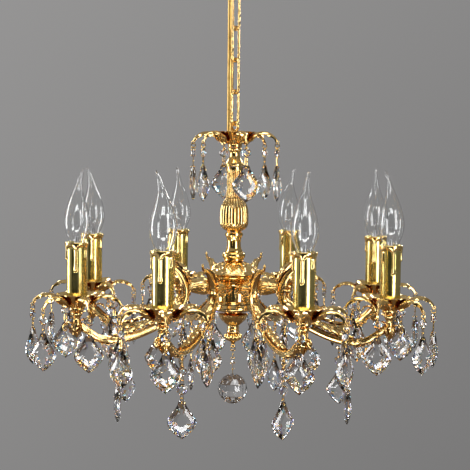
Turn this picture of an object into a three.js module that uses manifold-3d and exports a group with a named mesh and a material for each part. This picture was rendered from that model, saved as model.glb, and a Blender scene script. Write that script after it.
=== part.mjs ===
// Eight-light candle chandelier with crystal drops, hung on a chain.
// Millimetres, +Z up. The origin is the centre of the ceiling bracket's top face, so the lamp hangs towards -Z.
// The cardinal angle of an arm or finger is measured from -Y (the front), turning towards +X.
import * as THREE from 'three';
import { mergeVertices } from 'three/addons/utils/BufferGeometryUtils.js';
import Module from 'manifold-3d';

const wasm = await Module();
wasm.setup();

// ---- Driving dimensions ---------------------------------------------------------------------

const GAP = 0.3; // between pieces that rest on each other
const ARMS = 8;
const FIRST_ARM = 22.5; // degrees from the front
const CANDLE_RADIUS = 227; // from the lamp's axis to a candle's axis

// Ceiling fitting
const BRACKET = { radius: 30, thickness: 4, screwOffset: 22, screwHole: 2.5 };
const HOOK_WIRE = 2.5; // radius
const CANOPY = { radius: 57, height: 61, wall: 2.5, outlet: 17 };

// Chain: each link is a flat oval of round wire, turned a quarter turn from the next
const LINKS = 5;
const LINK_WIRE = 1.85; // radius
const LINK_HALF_WIDTH = 6.15; // from the middle to the wire's centre
const LINK_PITCH = 44;
const LINK_BITE = 4.1; // between the wire centres of two linked ends
const LOWEST_LINK_Z = -260; // wire centre at the bottom of the lowest link
const HOOK_Z = LOWEST_LINK_Z + LINKS * LINK_PITCH - 0.75; // wire centre at the bottom of the hook
const CABLE = { radius: 3.4, offset: 8.1 };

// Column
const TUBE = { outer: 5, inner: 3.5, top: -280.3, bottom: -557 };
const BORE = TUBE.outer + GAP;
const CROWN_RIM_Z = -269.5;

// Arms, bobeches, candles
const HUB_Z = -487;
const DRUM_RADIUS = 25;
const BOBECHE_RIM_Z = -489.5;
const PAN_DEPTH = 21.5;
const PAN_FLOOR = 9.8; // below the rim
const FINGERS = 6;
const SLEEVE = { inner: 12.4, outer: 13.8, wax: 17, bottom: -499, top: -420 };
const NIPPLE = { radius: 4.9, top: -484 };
const BULB_HEIGHT = 98; // of glass above its sleeve
const TIP_BEND = 9; // how far a bulb's tip leans
const TIP_TURNS = [60, 180, 90, 0, 240, 180, 0, 180]; // where each tip leans, in degrees from +X

// Crystals
const PENDANT = { height: 50, halfWidth: 18.5, thickness: 10 };
const LUG = { thickness: 1.6, width: 6, hole: 1.3 };
const DROP_RING = { radius: 3.1, wire: 0.6 };
const DROP_RADIUS = 170; // from the lamp's axis to the drop under an arm
const DROP_TURNS = [17.5, 22.5, 40, -30, 60, -15, -22.5, 22.5]; // how each drop has turned on its ring, in degrees
const BALL = { radius: 21.3, z: -633.5 };

// ---- Helpers --------------------------------------------------------------------------------

const rad = THREE.MathUtils.degToRad;

function signedVolume(geometry) {
  const position = geometry.attributes.position;
  const index = geometry.index.array;
  const [a, b, c] = [new THREE.Vector3(), new THREE.Vector3(), new THREE.Vector3()];
  let sum = 0;
  for (let i = 0; i < index.length; i += 3) {
    a.fromBufferAttribute(position, index[i]);
    b.fromBufferAttribute(position, index[i + 1]);
    c.fromBufferAttribute(position, index[i + 2]);
    sum += a.dot(b.cross(c)) / 6;
  }
  return sum;
}

// One closed indexed mesh: shared corners, no collapsed triangles, faces pointing out
function weld(geometry) {
  geometry.deleteAttribute('normal');
  geometry.deleteAttribute('uv');
  const welded = mergeVertices(geometry, 1e-3);
  const index = welded.index.array;
  const kept = [];
  for (let i = 0; i < index.length; i += 3) {
    const [a, b, c] = [index[i], index[i + 1], index[i + 2]];
    if (a !== b && b !== c && c !== a) kept.push(a, b, c);
  }
  welded.setIndex(kept);
  if (signedVolume(welded) < 0) {
    for (let i = 0; i < kept.length; i += 3) {
      [kept[i], kept[i + 1]] = [kept[i + 1], kept[i]];
    }
    welded.setIndex(kept);
  }
  return welded;
}

function toSolid(geometry) {
  const welded = weld(geometry);
  const vertProperties = new Float32Array(welded.attributes.position.array);
  const triVerts = new Uint32Array(welded.index.array);
  return new wasm.Manifold(new wasm.Mesh({ numProp: 3, vertProperties, triVerts }));
}

function toGeometry(solid) {
  const mesh = solid.getMesh();
  const geometry = new THREE.BufferGeometry();
  geometry.setAttribute('position', new THREE.BufferAttribute(new Float32Array(mesh.vertProperties), 3));
  geometry.setIndex(new THREE.BufferAttribute(new Uint32Array(mesh.triVerts), 1));
  geometry.computeVertexNormals();
  return geometry;
}

function join(...geometries) {
  return toGeometry(geometries.map(toSolid).reduce((a, b) => a.add(b)));
}

function cut(geometry, ...tools) {
  return toGeometry(tools.map(toSolid).reduce((a, b) => a.subtract(b), toSolid(geometry)));
}

// A turned piece about Z from [radius, z] points
function turned(profile, segments = 12) {
  const points = profile.map(([r, z]) => new THREE.Vector2(r, z));
  return new THREE.LatheGeometry(points, segments).rotateX(Math.PI / 2);
}

// A turned piece with a bore through it: the profile is its outside, from the bottom up
function turnedRing(outside, bore = BORE, segments = 12) {
  const [low, high] = [outside[0][1], outside.at(-1)[1]];
  return turned([[bore, low], ...outside, [bore, high], [bore, low]], segments);
}

function rod(radius, low, high, segments = 8) {
  return turned([[0, low], [radius, low], [radius, high], [0, high]], segments);
}

function torus(radius, wire, wireSides = 4, steps = 8) {
  return new THREE.TorusGeometry(radius, wire, wireSides, steps);
}

// A bar along a path of [x, z] points in the XZ plane: four sides make a full rectangle, more make an oval.
// Its width is across the plane
function bar(path, width, height, sides = 6, steps = path.length - 1) {
  const curve = new THREE.CatmullRomCurve3(path.map(([x, z]) => new THREE.Vector3(x, 0, z)));
  const section = new THREE.Shape();
  const grow = sides === 4 ? Math.SQRT2 : 1;
  for (let i = 0; i < sides; i += 1) {
    const a = ((i + 0.5) * 2 * Math.PI) / sides;
    const [x, y] = [(Math.cos(a) * width * grow) / 2, (Math.sin(a) * height * grow) / 2];
    if (i === 0) section.moveTo(x, y);
    else section.lineTo(x, y);
  }
  section.closePath();
  return new THREE.ExtrudeGeometry(section, { steps, extrudePath: curve, bevelEnabled: false });
}

const finishes = {
  brass: { color: 0xc9962f, roughness: 0.18, metalness: 1 },
  candle: { color: 0xd9a93f, roughness: 0.1, metalness: 1 },
  glass: { color: 0xf4f6f6, roughness: 0.02, metalness: 0, transparent: true, opacity: 0.3 },
  crystal: { color: 0xeef2f4, roughness: 0.02, metalness: 0, transparent: true, opacity: 0.6 },
  cable: { color: 0xc79a3a, roughness: 0.35, metalness: 0.3 },
  steel: { color: 0x8f9092, roughness: 0.4, metalness: 1 },
  plastic: { color: 0xe8e6de, roughness: 0.5, metalness: 0 },
};

const chandelier = new THREE.Group();

function place(name, finish, geometry, parent = chandelier) {
  const mesh = new THREE.Mesh(geometry, new THREE.MeshStandardMaterial(finishes[finish]));
  mesh.name = name;
  parent.add(mesh);
  return mesh;
}

// A group whose +X points out along the given angle from the front
function radialGroup(degrees, x = 0, y = 0) {
  const group = new THREE.Group();
  group.rotation.z = rad(degrees - 90);
  group.position.set(x, y, 0);
  chandelier.add(group);
  return group;
}

// ---- Ceiling fitting ------------------------------------------------------------------------

function ceilingBracket() {
  const { radius, thickness, screwOffset, screwHole } = BRACKET;
  const plate = rod(radius, -thickness, 0, 20);
  const holes = [-screwOffset, screwOffset].map((y) => rod(screwHole, -thickness - 1, 1, 6).translate(0, y, 0));
  const reach = LINK_HALF_WIDTH + LINK_WIRE;
  const bend = HOOK_Z + reach; // the middle of the hook's half circle
  const path = [
    [0, -thickness + 1], [0, -thickness - 5], [-reach * 0.6, -thickness - 13], [-reach, bend + 4], [-reach, bend],
    [-reach * 0.71, bend - reach * 0.71], [0, HOOK_Z], [reach * 0.71, bend - reach * 0.71], [reach, bend],
    [reach * 1.05, bend + 5],
  ];
  const hook = bar(path, 2 * HOOK_WIRE, 2 * HOOK_WIRE, 6, 18).rotateZ(rad(-45));
  return join(cut(plate, ...holes), hook);
}

function ceilingCanopy() {
  const { radius, height, wall, outlet } = CANOPY;
  const outside = [[outlet + 3, -height], [radius * 0.5, -height * 0.75], [radius * 0.7, -height * 0.5],
    [radius * 0.88, -height * 0.25], [radius, -height * 0.07], [radius, -0.8]];
  const inside = outside.slice(1, -1).reverse().map(([r, z]) => [r - wall, z + wall * 0.4]);
  const profile = [[outlet, -height], ...outside, [radius - wall, -0.8], ...inside, [outlet, -height + 3]];
  return turned([...profile, profile[0]], 20);
}

function terminalBlock() {
  const block = new THREE.BoxGeometry(20, 16, 12).translate(-18, 0, -BRACKET.thickness - GAP - 6);
  const screws = [-4, 4].map((y) => rod(1.6, -20, -14, 6).translate(-25, y, 0));
  return cut(block, ...screws);
}

// ---- Chain and cable ------------------------------------------------------------------------

// The middle line of a link, with its points spread evenly over its turns and none along its straight sides
class LinkLine extends THREE.Curve {
  constructor(halfWidth, halfLength, stepsPerEnd) {
    super();
    const straight = halfLength - halfWidth;
    this.corners = [];
    for (const end of [1, -1]) {
      for (let i = 0; i <= stepsPerEnd; i += 1) {
        const a = (i * Math.PI) / stepsPerEnd + (end > 0 ? 0 : Math.PI);
        this.corners.push(new THREE.Vector3(halfWidth * Math.cos(a), 0, halfWidth * Math.sin(a) + end * straight));
      }
    }
  }

  getPoint(t) {
    return this.corners[Math.round(t * this.corners.length) % this.corners.length].clone();
  }

  getPointAt(t) {
    return this.getPoint(t);
  }

  getTangentAt(t) {
    const step = 1 / this.corners.length;
    return this.getPoint((t + step) % 1).sub(this.getPoint((t + 1 - step) % 1)).normalize();
  }
}

function chainLink() {
  const halfLength = (LINK_PITCH + LINK_BITE) / 2;
  const line = new LinkLine(LINK_HALF_WIDTH, halfLength, 6);
  return weld(new THREE.TubeGeometry(line, line.corners.length, LINK_WIRE, 6, true));
}

function supplyCable() {
  const x = -CABLE.offset;
  const top = -BRACKET.thickness - 12 - 2 * GAP;
  const route = [[x - 6, top], [x - 6, top - 5], [x - 3.4, top - 15], [x - 1.4, top - 27], [x, top - 40], [x, -90],
    [x, -150], [x, -210], [x, -250], [x, -271]];
  return weld(bar(route, 2 * CABLE.radius, 2 * CABLE.radius, 8, 16));
}

function addCeilingAndChain() {
  place('ceiling_bracket', 'steel', ceilingBracket());
  place('ceiling_canopy', 'brass', weld(ceilingCanopy()));
  place('terminal_block', 'plastic', terminalBlock());
  place('supply_cable', 'cable', supplyCable());
  for (let k = 1; k <= LINKS; k += 1) {
    const link = place(`chain_link_${k}`, 'brass', chainLink());
    link.position.z = LOWEST_LINK_Z + (k - 1) * LINK_PITCH + (LINK_PITCH + LINK_BITE) / 2;
    link.rotation.z = rad(k % 2 === 1 ? 45 : -45);
  }
}

// ---- Column ---------------------------------------------------------------------------------

// A cast pan with six drooping fingers. Its rim is at z = 0
function castPan(firstFinger) {
  const cup = turned([[BORE, -PAN_DEPTH], [9.5, -PAN_DEPTH], [17, -12], [27.5, -0.5],
    [26, 0], [15, -PAN_FLOOR], [BORE, -PAN_FLOOR], [BORE, -PAN_DEPTH]], 10);
  const finger = [[24, -3.2], [38, 0], [50, -2], [58.5, -9], [61.5, -15]];
  const fingers = [];
  for (let i = 0; i < FINGERS; i += 1) {
    fingers.push(bar(finger, 8, 2, 4, 3).rotateZ(rad(firstFinger + (360 / FINGERS) * i)));
  }
  return join(cup, ...fingers);
}

function hangingLoop() {
  const centre = LOWEST_LINK_Z + LINK_BITE - LINK_HALF_WIDTH;
  const ring = torus(LINK_HALF_WIDTH, LINK_WIRE, 6, 12).rotateX(Math.PI / 2).rotateZ(rad(-45));
  const stem = rod(3, -275, centre - LINK_HALF_WIDTH);
  const flange = rod(13, -274.3, -271.3, 12);
  const collar = rod(8, CROWN_RIM_Z - PAN_FLOOR + GAP, -274);
  return join(ring.translate(0, 0, centre), stem, flange, collar);
}

function addColumn() {
  place('hanging_loop', 'brass', hangingLoop());
  place('central_tube', 'steel', weld(turnedRing(
    [[TUBE.outer, TUBE.bottom], [TUBE.outer, TUBE.top]], TUBE.inner, 12)));
  const crown = place('crown_pan', 'brass', castPan(15 - 90));
  crown.position.z = CROWN_RIM_Z;
  place('column_bell', 'brass', weld(turnedRing([[12.5, -318.2], [13.5, -316], [10, -309], [7.5, -304],
    [7.5, -297], [9.8, -294], [8.5, -291.3]])));
  place('column_vase', 'brass', weld(turnedRing([[10, -410], [10, -407], [18, -403], [20, -392], [19.4, -378],
    [16, -370], [11, -362], [10.8, -328], [12, -321], [11.5, -318.5]])));
  place('column_neck', 'brass', weld(turnedRing([[14, -450.7], [14, -448], [16.5, -443], [14, -438.6],
    [11, -434], [9.8, -424], [10.7, -415], [10.7, -410.3]])));
  place('hub_dome', 'brass', weld(turnedRing([[36.5, -469.6], [36.5, -467.5], [28, -459.5], [18, -453.5],
    [12, -451]], BORE, 16)));
  const drum = [[BORE, -484], [22, -484], [22, -511.5], [DRUM_RADIUS, -511.5], [DRUM_RADIUS, -479], [33, -474.5],
    [33, -471], [31, -469.9], [BORE, -469.9], [BORE, -484]];
  place('hub_body', 'brass', weld(turned(drum, 20)));
  place('hub_base', 'brass', weld(turnedRing([[8, -553.4], [8.6, -548], [8, -543.5], [13, -538], [18.5, -533],
    [20, -527], [12, -525], [12, -521], [28, -520.8], [29.5, -516], [27, -511.8]])));
  place('finial', 'brass', finial());
}

function finial() {
  const onion = turned([[0, -569.5], [2.5, -569.5], [4, -566], [9, -564], [13.5, -559.5], [12, -555.5],
    [8, -553.7], [BORE, -553.7], [BORE, TUBE.bottom - GAP], [0, TUBE.bottom - GAP]]);
  return join(onion, lug(-568.5));
}

// A small upright plate with a hole, hanging from z. Its faces look along Y
function lug(z) {
  const plate = new THREE.BoxGeometry(LUG.width, LUG.thickness, 7).translate(0, 0, z - 3.5);
  const hole = rod(LUG.hole, -2, 2, 6).rotateX(Math.PI / 2).translate(0, 0, lugHole(z));
  return cut(plate, hole);
}

function lugHole(z) {
  return z - 4.4;
}

// ---- Crystals -------------------------------------------------------------------------------

// The ring that passes through a lug's hole. Its plane holds the hole's axis
function dropRing(hole) {
  return torus(DROP_RING.radius, DROP_RING.wire).rotateY(Math.PI / 2).translate(0, 0, hole - DROP_RING.radius);
}

function octagon(z, radius, thickness) {
  const [inner, half] = [radius * 0.55, thickness / 2];
  const profile = [[0, -half], [inner, -half], [radius, 0], [inner, half], [0, half]];
  return turned(profile, 8).rotateY(Math.PI / 2).translate(0, 0, z);
}

// A French-cut pendant, hanging from z with its broad faces along X
function pendant(z) {
  const { height, halfWidth, thickness } = PENDANT;
  const half = [[0.22, 0], [0.7, -0.3], [1, -0.52], [0.88, -0.7], [0.3, -0.9], [0, -1]];
  const outline = new THREE.Shape();
  const edge = thickness * 0.35;
  const points = [...half, ...half.slice(0, -1).reverse().map(([x, y]) => [-x, y])];
  points.forEach(([x, y], i) => {
    const [px, py] = [x * (halfWidth - edge), y * (height - 2 * edge) - edge];
    if (i === 0) outline.moveTo(px, py);
    else outline.lineTo(px, py);
  });
  outline.closePath();
  const options = { depth: thickness - 2 * edge, bevelThickness: edge, bevelSize: edge, bevelSegments: 1 };
  const geometry = new THREE.ExtrudeGeometry(outline, options).translate(0, 0, -options.depth / 2);
  return geometry.rotateX(Math.PI / 2).rotateZ(Math.PI / 2).translate(0, 0, z);
}

// Ring, octagon, pin, octagon, pin and pendant, all one hanging string
function lowerDrop(hole, turn) {
  const top = hole - 2 * DROP_RING.radius;
  const crystals = [rod(0.8, top - 52, top + 1, 6), octagon(top - 10, 6.5, 6), octagon(top - 33, 7.5, 6.5),
    pendant(top - 48)];
  return join(dropRing(hole), ...crystals.map((crystal) => crystal.rotateZ(rad(turn))));
}

function crystalBall(hole) {
  const top = hole - 2 * DROP_RING.radius;
  const ball = new THREE.IcosahedronGeometry(BALL.radius, 1).translate(0, 0, BALL.z);
  return join(dropRing(hole), rod(0.8, BALL.z + BALL.radius - 2, top + 1, 6), octagon(top - 14, 5, 4.5), ball);
}

// ---- Arms and candles -----------------------------------------------------------------------

function arm() {
  const at = (points) => points.map(([x, z]) => [x, z + HUB_Z]);
  const collar = [[0, DRUM_RADIUS + GAP], [7.5, DRUM_RADIUS + GAP], [6.5, 35], [9.5, 47], [6, 70], [0, 70]];
  const root = turned(collar, 6).rotateY(Math.PI / 2).translate(0, 0, HUB_Z);
  const scroll = [[107, 34], [94, 29], [80, 18], [71.5, -4], [77, -25], [97, -41], [120, -53], [150, -65], [170, -68],
    [193, -64], [211, -51], [225, -42]];
  const ridge = [[76, -14], [97, -31], [120, -43], [150, -55], [178, -60]];
  const leaf = [[0, -61], [6.5, -49], [6, -40], [0, -38]];
  const curl = [[225, -42], [237, -41], [245, -44], [246, -51]];
  const stem = rod(6, HUB_Z - 42, BOBECHE_RIM_Z - PAN_DEPTH - GAP, 6);
  const nipple = rod(NIPPLE.radius, HUB_Z - 30, NIPPLE.top, 6);
  const end = turned(at(leaf), 4);
  return join(
    root,
    bar(at(scroll), 9, 11, 4, 15),
    bar(at(ridge), 5, 7, 4),
    bar(at(curl), 5, 3, 4, 2),
    end.translate(CANDLE_RADIUS, 0, 0),
    stem.translate(CANDLE_RADIUS, 0, 0),
    nipple.translate(CANDLE_RADIUS, 0, 0),
    lug(HUB_Z - 73).translate(DROP_RADIUS, 0, 0),
  );
}

function candleSleeve() {
  const { inner, outer, wax, bottom, top } = SLEEVE;
  const outside = [[outer, bottom], [outer, top - 36], [wax, top - 31], [wax - 0.8, top]];
  return weld(turnedRing(outside, inner));
}

// A candle bulb with a bent tip: screw cap, glass and tip, turned about its axis and then leaned over
function bulb() {
  const profile = [[0, -27], [6.8, -27], [6.8, -7], [10.8, -1], [11.5, 4], [15.6, 14], [17.4, 26], [16.4, 37],
    [13, 50], [8.6, 63], [4, 80], [1.8, 94], [0, BULB_HEIGHT]];
  const geometry = weld(turned(profile, 10));
  const position = geometry.attributes.position;
  const bendStart = 50;
  for (let i = 0; i < position.count; i += 1) {
    const rise = Math.max(0, position.getZ(i) - bendStart) / (BULB_HEIGHT - bendStart);
    position.setX(i, position.getX(i) + TIP_BEND * rise * rise);
  }
  return geometry;
}

function addArms() {
  for (let k = 0; k < ARMS; k += 1) {
    const angle = FIRST_ARM + (360 / ARMS) * k;
    const [x, y] = [CANDLE_RADIUS * Math.sin(rad(angle)), -CANDLE_RADIUS * Math.cos(rad(angle))];
    const number = k + 1;
    const radial = radialGroup(angle);
    place(`arm_${number}`, 'brass', arm(), radial);
    const candle = radialGroup(angle, x, y);
    place(`bobeche_${number}`, 'brass', castPan(30), candle).position.z = BOBECHE_RIM_Z;
    place(`candle_sleeve_${number}`, 'candle', candleSleeve(), candle);
    const lamp = place(`bulb_${number}`, 'glass', bulb());
    lamp.position.set(x, y, SLEEVE.top);
    lamp.rotation.z = rad(TIP_TURNS[k]);
    const drop = place(`lower_drop_${number}`, 'crystal', lowerDrop(lugHole(HUB_Z - 73), DROP_TURNS[k]), radial);
    drop.position.x = DROP_RADIUS;
  }
}

// ---- Assembly -------------------------------------------------------------------------------

addCeilingAndChain();
addColumn();
addArms();
place('crystal_ball', 'crystal', crystalBall(lugHole(-568.5)));

export default chandelier;
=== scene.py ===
import math
import random

import bmesh
import bpy
import numpy as np
from mathutils import Euler, Matrix, Vector


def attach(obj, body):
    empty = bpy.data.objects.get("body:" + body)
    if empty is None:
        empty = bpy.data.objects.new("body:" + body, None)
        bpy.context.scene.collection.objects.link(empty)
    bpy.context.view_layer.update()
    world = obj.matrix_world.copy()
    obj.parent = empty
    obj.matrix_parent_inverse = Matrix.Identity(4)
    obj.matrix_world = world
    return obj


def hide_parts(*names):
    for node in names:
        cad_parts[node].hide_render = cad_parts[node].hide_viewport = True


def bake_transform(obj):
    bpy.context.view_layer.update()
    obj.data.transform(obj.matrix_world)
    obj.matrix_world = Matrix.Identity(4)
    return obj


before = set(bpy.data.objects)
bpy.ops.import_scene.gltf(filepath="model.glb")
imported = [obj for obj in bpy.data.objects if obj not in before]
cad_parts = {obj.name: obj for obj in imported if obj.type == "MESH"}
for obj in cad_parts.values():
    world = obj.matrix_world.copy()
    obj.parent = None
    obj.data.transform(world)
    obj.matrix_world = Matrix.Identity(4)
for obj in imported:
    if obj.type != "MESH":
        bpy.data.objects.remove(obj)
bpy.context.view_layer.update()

# ---- Dimensions, in millimetres in the row frame -------------------------------------------------

MM = 0.001
TAU = 2 * math.pi
ARMS = 8
ARM_STEP = 45
FIRST_ARM = 22.5
CANDLE_RADIUS = 227
DROP_RADIUS = 170
HUB_Z = -487
BOBECHE_Z = -489.5
CROWN_Z = -269.5
CROWN_FINGER = 15
SLEEVE_TOP = -420
BORE = 5.3
FINGERS = 6
FINGER_EYE = (61.3, -15.2)
INNER_EYE = (78, -31.4)
TIP_TURNS = [60, 180, 90, 0, 240, 180, 0, 180]
DROP_TURNS = [17.5, 22.5, 40, -30, 60, -15, -22.5, 22.5]
STRING_RING = 3.1
DROP_HOOK = -564.4
BALL_HOOK = -572.9
BALL_Z = -633.5
BALL_RADIUS = 21.3
LINK_PIVOTS = [-40.75, -84, -128, -172, -216, -260]

scene = bpy.context.scene
rng = random.Random(7)

# ---- Camera --------------------------------------------------------------------------------------

EYE = (0, -1.62, -0.305)
PITCH, YAW, ROLL = math.radians(-3.87), math.radians(-0.05), math.radians(0.55)
camera_data = bpy.data.cameras.new("camera")
camera_data.lens = 88.2
camera_data.sensor_width = 36
camera = bpy.data.objects.new("camera", camera_data)
scene.collection.objects.link(camera)
camera.location = EYE
camera.rotation_euler = Euler((math.pi / 2 + PITCH, 0, YAW))
camera.rotation_euler.rotate_axis("Z", ROLL)
scene.camera = camera
scene.view_settings.view_transform = "Standard"

# ---- Materials -----------------------------------------------------------------------------------


class Nodes:
    """A new material with its node tree, and short ways to add and join nodes."""

    def __init__(self, name):
        self.material = bpy.data.materials.new(name)
        self.material.use_nodes = True
        self.tree = self.material.node_tree
        self.shader = self.tree.nodes["Principled BSDF"]
        self.place = self.add("ShaderNodeTexCoord").outputs["Object"]

    def add(self, kind, **values):
        node = self.tree.nodes.new(kind)
        for key, value in values.items():
            name = key.replace("_", " ")
            if name in node.inputs:
                node.inputs[name].default_value = value
            else:
                setattr(node, key, value)
        return node

    def join(self, output, socket):
        self.tree.links.new(output, socket)

    def noise(self, scale, detail=4.0):
        node = self.add("ShaderNodeTexNoise", Scale=scale, Detail=detail, Roughness=0.55)
        self.join(self.place, node.inputs["Vector"])
        return node.outputs["Fac"]

    def cells(self, scale):
        node = self.add("ShaderNodeTexVoronoi", Scale=scale)
        self.join(self.place, node.inputs["Vector"])
        return node.outputs["Distance"]

    def ramp(self, factor, stops):
        node = self.add("ShaderNodeValToRGB")
        elements = node.color_ramp.elements
        while len(elements) < len(stops):
            elements.new(0.5)
        for element, (position, colour) in zip(elements, stops):
            element.position = position
            element.color = (*colour, 1)
        self.join(factor, node.inputs["Fac"])
        return node.outputs["Color"]

    def spread(self, factor, low, high):
        node = self.add("ShaderNodeMapRange")
        node.inputs["From Min"].default_value = 0.3
        node.inputs["From Max"].default_value = 0.7
        node.inputs["To Min"].default_value = low
        node.inputs["To Max"].default_value = high
        self.join(factor, node.inputs["Value"])
        return node.outputs["Result"]

    def multiply(self, a, b):
        node = self.add("ShaderNodeMix", data_type="RGBA", blend_type="MULTIPLY")
        node.inputs["Factor"].default_value = 1.0
        self.join(a, node.inputs["A"])
        self.join(b, node.inputs["B"])
        return node.outputs["Result"]

    def bump(self, height, strength, distance):
        node = self.add("ShaderNodeBump", Strength=strength, Distance=distance)
        self.join(height, node.inputs["Height"])
        self.join(node.outputs["Normal"], self.shader.inputs["Normal"])

    def set(self, **values):
        for key, value in values.items():
            self.shader.inputs[key.replace("_", " ")].default_value = value


def brass(name, light, deep, rough, grain=140, bump=0.12, depth=0.0002, crevice_shade=None, hammer=None):
    """Polished or cast brass: two close tones in patches, a lacquer that is duller in places, and fine waves.
    The crevice colour is painted shade: ambient occlusion darkens the hollows of a casting, standing also for
    their patina."""
    n = Nodes(name)
    colour = n.ramp(n.noise(grain), [(0.32, deep), (0.62, light)])
    if crevice_shade:
        # Painted shade: the hollows darken towards the crevice colour by ambient occlusion.
        hollow = n.add("ShaderNodeAmbientOcclusion", Distance=0.007, samples=6).outputs["AO"]
        shade = n.ramp(hollow, [(0.3, crevice_shade), (0.86, (1, 1, 1))])
        colour = n.multiply(colour, shade)
    n.join(colour, n.shader.inputs["Base Color"])
    n.join(n.spread(n.noise(grain * 2.3, 6), *rough), n.shader.inputs["Roughness"])
    n.bump(n.cells(hammer) if hammer else n.noise(grain * 4, 5), bump, depth)
    n.set(Metallic=1.0)
    return n.material


POLISHED = brass("polished_brass", (0.9, 0.64, 0.25), (0.78, 0.48, 0.13), (0.04, 0.1), grain=60, bump=0.05)
# Cast brass gets painted shade in its hollows, from the crevice colour below.
CAST = brass("cast_brass", (0.88, 0.65, 0.29), (0.7, 0.43, 0.13), (0.08, 0.19), grain=160, bump=0.3,
             crevice_shade=(0.6, 0.34, 0.13))
CHAIN = brass("chain_brass", (0.94, 0.7, 0.34), (0.84, 0.55, 0.18), (0.12, 0.25), grain=300, bump=0.8,
              depth=0.0006, hammer=420)
CANDLE = brass("candle_gold", (0.78, 0.66, 0.27), (0.64, 0.52, 0.16), (0.13, 0.2), grain=40, bump=0.04)
WAX = brass("candle_drips", (0.94, 0.72, 0.34), (0.84, 0.58, 0.2), (0.07, 0.14), grain=90, bump=0.06)
STEEL = brass("zinc_steel", (0.62, 0.63, 0.66), (0.45, 0.46, 0.48), (0.25, 0.45), grain=120, bump=0.2)


def cable_material():
    n = Nodes("gold_cable")
    colour = n.ramp(n.noise(90), [(0.3, (0.52, 0.3, 0.07)), (0.65, (0.72, 0.47, 0.14))])
    n.join(colour, n.shader.inputs["Base Color"])
    n.join(n.spread(n.noise(400), 0.24, 0.38), n.shader.inputs["Roughness"])
    n.bump(n.noise(900, 3), 0.15, 0.0001)
    n.set(Metallic=0.65)
    return n.material


def plastic_material():
    n = Nodes("white_plastic")
    colour = n.ramp(n.noise(60), [(0.3, (0.7, 0.69, 0.65)), (0.7, (0.82, 0.81, 0.77))])
    n.join(colour, n.shader.inputs["Base Color"])
    n.join(n.spread(n.noise(500), 0.35, 0.5), n.shader.inputs["Roughness"])
    n.bump(n.noise(1500, 2), 0.1, 0.0001)
    return n.material


def glass_material():
    """Thin blown glass with faint waves."""
    n = Nodes("bulb_glass")
    n.join(n.ramp(n.noise(25), [(0.3, (0.97, 0.98, 0.98)), (0.7, (1, 1, 1))]), n.shader.inputs["Base Color"])
    n.join(n.spread(n.noise(120), 0.0, 0.02), n.shader.inputs["Roughness"])
    n.bump(n.noise(60, 2), 0.03, 0.0004)
    n.set(Transmission_Weight=1.0, IOR=1.48)
    return n.material


def crystal_material():
    """Lead crystal. Small facets may hold a colour in the mesh: painted glints for the colours that cut
    crystal throws.
    """
    n = Nodes("crystal")
    tint = n.add("ShaderNodeAttribute", attribute_name="tint").outputs["Color"]
    n.join(tint, n.shader.inputs["Base Color"])
    n.join(n.spread(n.noise(300), 0.0, 0.015), n.shader.inputs["Roughness"])
    n.set(Transmission_Weight=1.0, IOR=1.7)
    return n.material


def tungsten_material():
    n = Nodes("filament")
    n.join(n.ramp(n.noise(900), [(0.3, (0.3, 0.3, 0.32)), (0.7, (0.5, 0.5, 0.52))]),
           n.shader.inputs["Base Color"])
    n.join(n.spread(n.noise(2000), 0.3, 0.5), n.shader.inputs["Roughness"])
    n.set(Metallic=1.0)
    return n.material


CABLE = cable_material()
PLASTIC = plastic_material()
GLASS = glass_material()
CRYSTAL = crystal_material()
TUNGSTEN = tungsten_material()

# ---- Shapes: every maker returns (points, faces), in millimetres ---------------------------------


def joined(*shapes):
    points, faces, base = [], [], 0
    for p, f in shapes:
        points.append(np.asarray(p, float))
        faces += [tuple(base + i for i in face) for face in f]
        base += len(p)
    return np.concatenate(points), faces


def moved(shape, offset=(0, 0, 0), turn=0, tilt=None):
    """The shape turned about Z by degrees after an optional tilt matrix, then moved."""
    points, faces = shape
    m = Matrix.Rotation(math.radians(turn), 3, "Z")
    if tilt is not None:
        m = m @ tilt
    return points @ np.array(m).T + np.array(offset, float), faces


def skin(rows, loop=False, caps=False):
    """The surface through rows of points that close on themselves. loop joins the last row to the first."""
    rows = np.asarray(rows, float)
    n, m = rows.shape[:2]
    faces = []
    for i in range(n if loop else n - 1):
        j = (i + 1) % n
        for a in range(m):
            b = (a + 1) % m
            faces.append((i * m + a, i * m + b, j * m + b, j * m + a))
    points = rows.reshape(-1, 3)
    if caps:
        points = np.concatenate([points, rows[0].mean(0)[None], rows[-1].mean(0)[None]])
        first, last = n * m, n * m + 1
        for a in range(m):
            b = (a + 1) % m
            faces.append((first, b, a))
            faces.append((last, (n - 1) * m + a, (n - 1) * m + b))
    return points, faces


def turned(profile, segments=48, ripple=None, loop=False):
    """A turned piece about Z from (radius, z) points. ripple(angle, r, z) changes the radii."""
    profile = np.array(profile, float)
    angle = np.arange(segments) * TAU / segments
    r = profile[:, :1] + 0 * angle
    z = profile[:, 1:] + 0 * angle
    if ripple:
        r, z = ripple(angle, r, z)
    return skin(np.stack([r * np.cos(angle), r * np.sin(angle), z], -1), loop)


def bored(outside, segments=48, ripple=None, bore=BORE):
    """A turned piece with a bore: outside runs from the bottom up."""
    return turned([(bore, outside[0][1]), *outside, (bore, outside[-1][1])], segments, ripple, loop=True)


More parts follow.
